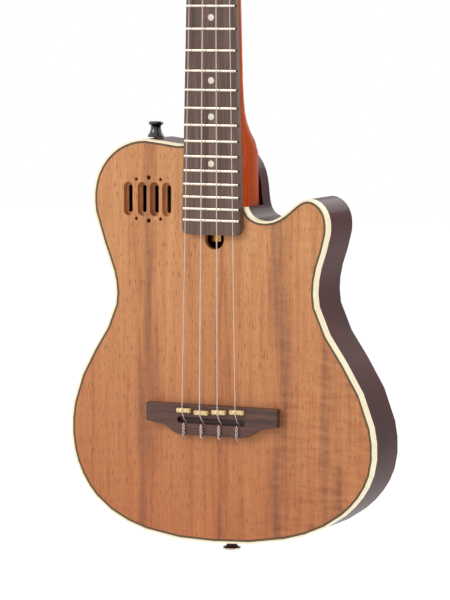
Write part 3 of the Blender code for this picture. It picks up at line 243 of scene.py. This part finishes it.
# %% Top wood
TOP_LIGHT = rgb(226, 163, 104)
TOP_MIDDLE = rgb(203, 133, 77)
TOP_DARK = rgb(122, 72, 42)
TOP_PORE = rgb(84, 44, 22)
# Painted shade for the lower end of the top: the colour that the top is multiplied by between
# TOP_LOW_FROM and TOP_LOW_TO.
TOP_LOW_PAINTED_SHADE = rgb(226, 190, 160)
TOP_LOW_FROM, TOP_LOW_TO = -0.30, -0.52
TOP_HALF_WIDTH = 0.13
STREAK_WANDER = 0.005
RIPPLE_FROM, RIPPLE_TO = 0.01, 0.09
RIPPLE_LEAST, RIPPLE_MOST = 0.04, 0.24
STREAKS = [
    (-0.130, 0.34), (-0.104, 0.52), (-0.096, 0.28), (-0.066, 0.26), (-0.056, 0.95), (-0.048, 0.36),
    (-0.030, 0.14), (-0.020, 0.55), (-0.012, 0.18), (0.000, 0.30), (0.003, 0.80), (0.010, 0.40),
    (0.030, 0.22), (0.044, 0.34), (0.054, 1.00), (0.064, 0.50), (0.082, 0.34), (0.096, 0.90),
    (0.106, 0.44), (0.130, 0.50),
]


def ramp(recipe, value, stops):
    node = recipe.add("ShaderNodeValToRGB", {"Fac": value})
    node.color_ramp.interpolation = "B_SPLINE"
    elements = node.color_ramp.elements
    while len(elements) < len(stops):
        elements.new(0.5)
    for element, (place, grey) in zip(elements, stops):
        element.position = place
        element.color = (grey, grey, grey, 1.0)
    return node.outputs["Color"]


def make_top_wood():
    wood = Recipe("top_wood")
    axes = wood.add("ShaderNodeSeparateXYZ", {"Vector": wood.place})
    drift = wood.noise((1, 1, 0.35), 22.0, 2.0)
    wander = wood.spread(drift, 0.3, 0.7, -STREAK_WANDER, STREAK_WANDER)
    across = wood.spread(wood.calc(axes.outputs["X"], wander), -TOP_HALF_WIDTH, TOP_HALF_WIDTH)
    width = 2 * TOP_HALF_WIDTH
    streak = ramp(wood, across, [((x + TOP_HALF_WIDTH) / width, grey) for x, grey in STREAKS])
    bands = wood.spread(wood.noise((1, 1, 0.05), 170.0, 4.0, 0.6), 0.32, 0.68)
    fibre = wood.spread(wood.noise((1, 1, 0.02), 900.0, 3.0, 0.7), 0.25, 0.75)
    pores = wood.spread(wood.noise((1, 1, 0.09), 1500.0, 1.0), 0.60, 0.70)
    ripple = wood.noise((0.30, 0.30, 1), 210.0, 2.0, 0.5, 0.4)
    ripple_share = wood.spread(
        axes.outputs["X"], RIPPLE_FROM, RIPPLE_TO, RIPPLE_LEAST, RIPPLE_MOST
    )
    shade = wood.calc(wood.calc(streak, 0.62, "MULTIPLY"), wood.calc(bands, 0.40, "MULTIPLY"))
    colour = wood.blend(wood.spread(shade, 0.12, 0.55), TOP_LIGHT, TOP_MIDDLE)
    colour = wood.blend(wood.spread(shade, 0.50, 0.92), colour, TOP_DARK)
    # Painted shade: towards the bottom the top is multiplied darker and redder, standing in for the
    # light falling off there.
    low = wood.spread(axes.outputs["Z"], TOP_LOW_FROM, TOP_LOW_TO)
    colour = wood.blend(low, colour, wood.blend(1.0, colour, TOP_LOW_PAINTED_SHADE, "MULTIPLY"))
    colour = wood.blend(wood.calc(fibre, 0.40, "MULTIPLY"), colour, TOP_DARK)
    colour = wood.blend(wood.calc(pores, 0.75, "MULTIPLY"), colour, TOP_PORE)
    glow = wood.spread(ripple, 0.35, 0.65)
    colour = wood.blend(wood.calc(glow, ripple_share, "MULTIPLY"), colour, TOP_LIGHT)
    wood.bump(wood.calc(fibre, pores, "SUBTRACT"), 0.00006, 0.5)
    roughness = wood.spread(fibre, 0, 1, 0.42, 0.52)
    return wood.finish(
        Base_Color=colour, Roughness=roughness, Coat_Weight=0.12, Coat_Roughness=0.3
    )


TOP_WOOD = make_top_wood()
print("top wood nodes:", len(TOP_WOOD.node_tree.nodes))

# %% [markdown]
# The sides and back have a deep burgundy stain under gloss lacquer, and the neck has the same
# recipe in orange. The colour sits in the wood and the shine sits above it, so the shader gets a
# grained base and a clear coat. The coat is kept weak, because a full one mirrors the white
# surroundings and turns the dark stain grey.

# %% Stained body and orange neck
COAT_WEIGHT = 0.10
COAT_IOR = 1.45


def make_lacquered_wood(name, light, dark, grain, coat_roughness):
    wood = Recipe(name)
    fibre = wood.noise((1, 1, 0.03), grain, 4.0, 0.65)
    figure = wood.noise((1, 1, 0.25), 28.0, 2.0, 0.5, 0.8)
    fibre_share = wood.spread(fibre, 0.3, 0.7, 0.0, 0.6)
    figure_share = wood.spread(figure, 0.3, 0.7, 0.0, 0.4)
    colour = wood.blend(wood.calc(fibre_share, figure_share), light, dark)
    pores = wood.spread(wood.noise((1, 1, 0.05), grain * 2.2, 1.0), 0.63, 0.72)
    colour = wood.blend(wood.calc(pores, 0.5, "MULTIPLY"), colour, tuple(c * 0.25 for c in dark))
    wood.bump(wood.noise((1, 1, 1), 45.0, 1.0), 0.00012, 0.25)
    return wood.finish(
        Base_Color=colour, Roughness=0.4, Specular_IOR_Level=0.08,
        Coat_Weight=COAT_WEIGHT, Coat_Roughness=coat_roughness, Coat_IOR=COAT_IOR,
    )


STAINED_WOOD = make_lacquered_wood("stained_wood", rgb(78, 12, 7), rgb(32, 5, 5), 600.0, 0.04)
NECK_WOOD = make_lacquered_wood("neck_wood", rgb(200, 78, 3), rgb(146, 48, 1), 700.0, 0.1)
print("lacquered:", STAINED_WOOD.name, NECK_WOOD.name)

# %% [markdown]
# The fingerboard and bridge are rosewood without lacquer: matt, with dark and reddish streaks
# along the grain and open pores. The fingerboard's grain runs up the neck and the bridge's
# runs across the body, so the same recipe is made twice with its stretch turned.

# %% Rosewood


def make_rosewood(name, stretch, light, dark):
    wood = Recipe(name)
    bands = wood.noise(stretch, 260.0, 4.0, 0.6)
    fibre = wood.noise(tuple(s if s == 1 else s * 0.5 for s in stretch), 1100.0, 3.0, 0.7)
    pores = wood.spread(wood.noise(stretch, 2200.0, 1.0), 0.6, 0.7)
    colour = wood.blend(wood.spread(bands, 0.33, 0.67), light, dark)
    streak_share = wood.spread(fibre, 0.3, 0.75, 0.0, 0.5)
    colour = wood.blend(streak_share, colour, tuple(c * 0.5 for c in dark))
    colour = wood.blend(wood.calc(pores, 0.6, "MULTIPLY"), colour, tuple(c * 0.35 for c in dark))
    wood.bump(wood.calc(fibre, pores, "SUBTRACT"), 0.00008, 0.6)
    return wood.finish(Base_Color=colour, Roughness=wood.spread(fibre, 0, 1, 0.42, 0.6))


UP_THE_NECK = (1, 1, 0.035)
ACROSS_THE_BODY = (0.05, 1, 1)
BOARD_WOOD = make_rosewood(
    "fingerboard_rosewood", UP_THE_NECK, rgb(124, 94, 80), rgb(70, 48, 38)
)
BRIDGE_WOOD = make_rosewood(
    "bridge_rosewood", ACROSS_THE_BODY, rgb(104, 62, 46), rgb(56, 28, 22)
)
print("rosewood:", BOARD_WOOD.name, BRIDGE_WOOD.name)

# %% [markdown]
# The hard trim: cream binding, bone, plated metal, black metal, moulded plastic and nylon. None
# is one flat colour on the real thing, so each has a faint clouding between two near colours
# and fine marks, which show in its roughness and as a very shallow relief.

# %% Plain materials with their fine marks


def make_trim(name, colour, other, size, roughness, marks=0.08, relief=0.00002, **values):
    trim = Recipe(name)
    cloud = trim.noise((1, 1, 1), size, 4.0, 0.6)
    shade = trim.blend(trim.spread(cloud, 0.3, 0.7), colour, other)
    polish = trim.noise((1, 1, 1), size * 9, 2.0)
    trim.bump(polish, relief, 0.4)
    rough = trim.spread(polish, 0.3, 0.7, roughness, roughness + marks)
    return trim.finish(Base_Color=shade, Roughness=rough, **values)


def make_fret_metal():
    """Nickel silver, smoother on the crown and duller on the flanks, with a painted highlight on
    the crown and painted shade on the flanks.
    """
    metal = Recipe("fret_metal")
    normal = metal.add("ShaderNodeTexCoord").outputs["Normal"]
    facing = metal.add("ShaderNodeSeparateXYZ", {"Vector": normal}).outputs["Y"]
    crown_highlight_and_polish = metal.spread(facing, -0.80, -0.97)
    worn = metal.spread(metal.noise((1, 1, 1), 700.0, 2.0), 0.3, 0.7, 0.8, 1.0)
    # Painted light: faces that look out of the board get a light colour and the flanks a dark one,
    # a painted highlight and painted shade.
    colour = metal.blend(metal.calc(crown_highlight_and_polish, worn, "MULTIPLY"), rgb(98, 84, 70), rgb(226, 210, 188))
    roughness = metal.spread(crown_highlight_and_polish, 0, 1, 0.6, 0.25)
    return metal.finish(Base_Color=colour, Metallic=0.75, Roughness=roughness)


CREAM = make_trim(
    "cream_binding", rgb(252, 238, 204), rgb(246, 230, 192), 60.0, 0.3, 0.05, 0.000002
)
PURFLE = make_trim("purfling", rgb(104, 90, 68), rgb(74, 60, 42), 500.0, 0.5, 0.1, 0.000002)
BONE = make_trim("bone", rgb(240, 214, 158), rgb(222, 190, 128), 160.0, 0.35, 0.08, 0.000004)
FRET_METAL = make_fret_metal()
NICKEL = make_trim(
    "nickel", rgb(214, 208, 198), rgb(190, 184, 174), 300.0, 0.14, 0.1, Metallic=1.0
)
BRASS = make_trim("brass", rgb(214, 166, 92), rgb(172, 122, 60), 300.0, 0.28, 0.15, Metallic=1.0)
BLACK_METAL = make_trim(
    "black_metal", rgb(26, 27, 29), rgb(14, 14, 16), 300.0, 0.16, Coat_Weight=0.6
)
BLACK_PLASTIC = make_trim(
    "black_plastic", rgb(34, 34, 36), rgb(24, 24, 26), 900.0, 0.42, 0.15, 0.00004
)
NYLON = make_trim(
    "nylon", rgb(236, 222, 214), rgb(222, 200, 192), 500.0, 0.2, 0.1, Transmission_Weight=0.25
)
PEARL = make_trim(
    "button_plastic", rgb(236, 230, 214), rgb(214, 204, 182), 120.0, 0.2, 0.1, Coat_Weight=0.4
)
print("materials:", len(bpy.data.materials))

# %% [markdown]
# A CAD solid is exact but bare: its facets shade flat and its edges are knife-sharp. For each
# one, a copy of its mesh is welded, its coplanar triangles are joined and its gentle corners are
# shaded smooth. The pieces with a width in the table also get a bevel of that width, whose narrow
# highlight tells the eye an edge's size. The copy stands for the node.

# %% Finish the solids
WELD_DISTANCE = 1e-6
FLAT_ANGLE = 0.002
SHARP_ANGLE = math.radians(32.0)
BEVEL_SEGMENTS = 2
FINISHES = {}


def body_of_node(node):
    return frame["nodes"][node]["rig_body"]


def finish_node(node, material, edge):
    """A softened copy of a CAD node, which stands for it."""
    work = bmesh.new()
    work.from_mesh(frame["nodes"][node].data)
    bmesh.ops.remove_doubles(work, verts=work.verts, dist=WELD_DISTANCE)
    bmesh.ops.dissolve_limit(work, angle_limit=FLAT_ANGLE, verts=work.verts, edges=work.edges)
    bmesh.ops.recalc_face_normals(work, faces=work.faces)
    fresh = bpy.data.meshes.new(node + "_fine")
    work.to_mesh(fresh)
    work.free()
    piece = bpy.data.objects.new(node + "_fine", fresh)
    bpy.context.scene.collection.objects.link(piece)
    fresh.shade_smooth()
    fresh.set_sharp_from_angle(angle=SHARP_ANGLE)
    if edge:
        bevel = piece.modifiers.new("edge", "BEVEL")
        bevel.width = edge
        bevel.segments = BEVEL_SEGMENTS
        bevel.limit_method = "ANGLE"
        bevel.angle_limit = SHARP_ANGLE
        bevel.harden_normals = True
    fresh.materials.append(material)
    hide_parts(node)
    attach(piece, body_of_node(node))
    FINISHES[node] = piece


SOLIDS = [
    (STAINED_WOOD, 0.0, ["body"]),
    (TOP_WOOD, 0.0, ["soundboard"]),
    (CREAM, 0.25 * MM, ["binding"]),
    (PURFLE, 0.0, ["purfling"]),
    (NECK_WOOD, 0.0, ["neck"]),
    (BOARD_WOOD, 0.0, ["fingerboard"]),
    (BRIDGE_WOOD, 0.35 * MM, ["bridge"]),
    (BONE, 0.2 * MM, ["nut", "saddle_1", "saddle_2", "saddle_3", "saddle_4"]),
    (FRET_METAL, 0.0, [f"fret_{number:02d}" for number in range(1, 20)]),
    (NYLON, 0.0, [f"string_{number}" for number in range(1, 5)]),
    (NICKEL, 0.0, [f"tuner_post_{number}" for number in range(1, 5)]),
    (NICKEL, 0.2 * MM, [f"tuner_plate_{number}" for number in range(1, 5)]),
    (PEARL, 0.0, [f"tuner_button_{number}" for number in range(1, 5)]),
    (NICKEL, 0.0, ["truss_rod", "output_jack", "strap_button_end", "neck_bolt_1", "neck_bolt_2"]),
    (BRASS, 0.0, ["truss_rod_nut"]),
    (BLACK_METAL, 0.0, ["strap_button_shoulder"]),
    (BLACK_PLASTIC, 0.4 * MM, ["preamp_case", "battery_door", "battery"]),
    (BLACK_PLASTIC, 0.0, ["preamp_knob_volume", "preamp_knob_bass", "preamp_knob_treble"]),
]
for material, edge, nodes in SOLIDS:
    for node in nodes:
        finish_node(node, material, edge)
print("finished:", len(FINISHES), "of", len(frame["nodes"]))

# %% [markdown]
# Small round trim is turned on a lathe, in the workshop and here: a closed profile of radius and
# height pairs is swept round the axis. Spinning a profile gives clean rings of faces, which is
# why it suits dots, bushings and screw heads better than a sphere or a cube pushed into shape.

# %% Lathe for the small trim
LATHE_WELD = 1e-7
LATHE_LEAST_EDGE = 1e-8
LATHE_SHARP = math.radians(35.0)


def lathe(name, profile, sides, material):
    """A closed profile (radius, height) swept round Z."""
    work = bmesh.new()
    rings = []
    for step in range(sides):
        a = math.tau * step / sides
        rings.append([work.verts.new((r * math.cos(a), r * math.sin(a), h)) for r, h in profile])
    for ring, following in zip(rings, rings[1:] + rings[:1]):
        for i in range(len(profile)):
            j = (i + 1) % len(profile)
            work.faces.new((ring[i], ring[j], following[j], following[i]))
    bmesh.ops.remove_doubles(work, verts=work.verts, dist=LATHE_WELD)
    bmesh.ops.dissolve_degenerate(work, edges=work.edges, dist=LATHE_LEAST_EDGE)
    bmesh.ops.recalc_face_normals(work, faces=work.faces)
    data = bpy.data.meshes.new(name)
    work.to_mesh(data)
    work.free()
    data.shade_smooth()
    data.set_sharp_from_angle(angle=LATHE_SHARP)
    data.materials.append(material)
    return data


def place_trim(name, data, place, axis, body):
    piece = bpy.data.objects.new(name, data)
    bpy.context.scene.collection.objects.link(piece)
    piece.location = place
    piece.rotation_euler = Vector(axis).to_track_quat("Z", "Y").to_euler()
    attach(piece, body)


print("lathe ready")

# %% [markdown]
# Position dots are white discs let into the board between two frets. Each sits in the middle of
# its space, so the places follow from the same fret rule that spaces the frets.

# %% Position dots
STRING_LENGTH = 431.8 * MM
DOT_FRETS = [5, 7, 10, 12, 15]
DOT_RADIUS = 2.5 * MM
DOT_DEPTH = 1.0 * MM
DOT_PROUD = 0.03 * MM
DOT_SIDES = 32
DOT_PROFILE = [
    (0, -DOT_DEPTH), (DOT_RADIUS, -DOT_DEPTH), (DOT_RADIUS, DOT_PROUD), (0, DOT_PROUD),
]
BOARD_FACE = -5.7 * MM


def fret_height(number):
    return -STRING_LENGTH * (1 - 2 ** (-number / 12))


for fret in DOT_FRETS:
    height = (fret_height(fret - 1) + fret_height(fret)) / 2
    dot = lathe(f"position_dot_{fret:02d}", DOT_PROFILE, DOT_SIDES, PEARL)
    place_trim(dot.name, dot, (0, BOARD_FACE, height), (0, -1, 0), "instrument")
print("dots at frets", DOT_FRETS)

# %% [markdown]
# Each tuner post comes out of the head through a nickel bushing, and four small domed screws
# hold its plate at the back. The head leans back, so both are placed by a row and a level on the
# head's own plane and then turned into the world.

# %% Bushings and screws
HEAD_START = Vector((0, 0, 5.3 * MM))
HEAD_TILT = math.radians(12.0)
HEAD_UP = Vector((0, math.sin(HEAD_TILT), math.cos(HEAD_TILT)))
HEAD_OUT = Vector((0, -math.cos(HEAD_TILT), math.sin(HEAD_TILT)))
POST_X = 18.5 * MM
POST_ROWS = [54.0 * MM, 100.0 * MM]
BUSHING_PROFILE = [
    (3.3 * MM, -1.0 * MM), (5.0 * MM, -1.0 * MM), (5.0 * MM, 0.7 * MM),
    (4.4 * MM, 1.1 * MM), (3.3 * MM, 1.1 * MM),
]
BUSHING_SIDES = 40
SCREW_PROFILE = [
    (0, -0.8 * MM), (1.4 * MM, -0.8 * MM), (1.4 * MM, 0.2 * MM),
    (1.0 * MM, 0.6 * MM), (0, 0.75 * MM),
]
SCREW_SIDES = 20
SCREW_PLACES = [
    (-5.2 * MM, 8.0 * MM), (5.2 * MM, 8.0 * MM), (-5.2 * MM, -12.8 * MM), (5.2 * MM, -12.8 * MM),
]
PLATE_BACK = -13.3 * MM


def on_head(x, row, level):
    return HEAD_START + Vector((x, 0, 0)) + HEAD_UP * row + HEAD_OUT * level


number = 0
for side in (-1, 1):
    for row in POST_ROWS:
        number += 1
        bushing = lathe(f"tuner_bushing_{number}", BUSHING_PROFILE, BUSHING_SIDES, NICKEL)
        place = on_head(side * POST_X, row, 0)
        place_trim(bushing.name, bushing, place, HEAD_OUT, "instrument")
        for corner, (x, rise) in enumerate(SCREW_PLACES, 1):
            screw = lathe(f"tuner_screw_{number}_{corner}", SCREW_PROFILE, SCREW_SIDES, NICKEL)
            place = on_head(side * POST_X + x, row + rise, PLATE_BACK)
            place_trim(screw.name, screw, place, -HEAD_OUT, "instrument")
print("tuners trimmed:", number)

# %% [markdown]
# A knob without a mark can't be read, so each preamp knob carries a short white line on one side
# of its centre. The knobs look out of the bass side and a little down, along KNOB_AXIS. Each line
# rides with its knob and turns with it.

# %% Knob marks
KNOBS = ["preamp_knob_volume", "preamp_knob_bass", "preamp_knob_treble"]
KNOB_AXIS = Vector((-0.945191, 0, -0.326517))
KNOB_SIDE = Vector((0.326517, 0, -0.945191))
MARK_SIZE = (2.6 * MM, 0.7 * MM, 0.5 * MM)
MARK_FROM_CENTRE = 2.3 * MM
MARK_SUNK = 0.15 * MM
for knob in KNOBS:
    points = [v.co for v in FINISHES[knob].data.vertices]
    middle = sum(points, Vector()) / len(points)
    top = max((point - middle).dot(KNOB_AXIS) for point in points)
    work = bmesh.new()
    bmesh.ops.create_cube(work, size=1.0, matrix=Matrix.Diagonal((*MARK_SIZE, 1.0)))
    data = bpy.data.meshes.new(knob + "_mark")
    work.to_mesh(data)
    work.free()
    data.materials.append(PEARL)
    mark = bpy.data.objects.new(knob + "_mark", data)
    bpy.context.scene.collection.objects.link(mark)
    turn = Matrix((KNOB_SIDE, KNOB_AXIS.cross(KNOB_SIDE), KNOB_AXIS)).transposed()
    mark.rotation_euler = turn.to_euler()
    mark.location = middle + KNOB_AXIS * (top - MARK_SUNK) + KNOB_SIDE * MARK_FROM_CENTRE
    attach(mark, body_of_node(knob))
print("knob marks:", len(KNOBS))

# %% [markdown]
# The floor is pale and lies below the instrument. Part of its brightness is a glow that only the
# camera, reflections and clear things see, so it reads as white paper and lights nothing matt.
# The rest is light it receives, so it still darkens where the instrument shades it.

# %% Floor
FLOOR_LEVEL = -0.75
FLOOR_SIZE = 12.0
FLOOR_COLOURS = ((0.80, 0.80, 0.80), (0.78, 0.78, 0.78))
FLOOR_GLOW = 0.5


def make_floor():
    paper = Recipe("floor_paper")
    cloud = paper.noise((1, 1, 1), 4.0, 2.0)
    colour = paper.blend(paper.spread(cloud, 0.3, 0.7), *FLOOR_COLOURS)
    rays = paper.add("ShaderNodeLightPath")
    seen = paper.calc(rays.outputs["Is Camera Ray"], rays.outputs["Is Transmission Ray"], "MAXIMUM")
    seen = paper.calc(seen, rays.outputs["Is Glossy Ray"], "MAXIMUM")
    paper.finish(Base_Color=colour, Roughness=0.9, Emission_Color=(1.0, 1.0, 1.0))
    glow = paper.calc(seen, FLOOR_GLOW, "MULTIPLY")
    paper.feed(paper.shader.inputs["Emission Strength"], glow)
    data = bpy.data.meshes.new("floor")
    work = bmesh.new()
    bmesh.ops.create_grid(work, x_segments=1, y_segments=1, size=FLOOR_SIZE / 2)
    work.to_mesh(data)
    work.free()
    data.materials.append(paper.material)
    floor = bpy.data.objects.new("floor", data)
    floor.location = (0, 0, FLOOR_LEVEL)
    bpy.context.scene.collection.objects.link(floor)


make_floor()
print("floor at", FLOOR_LEVEL)
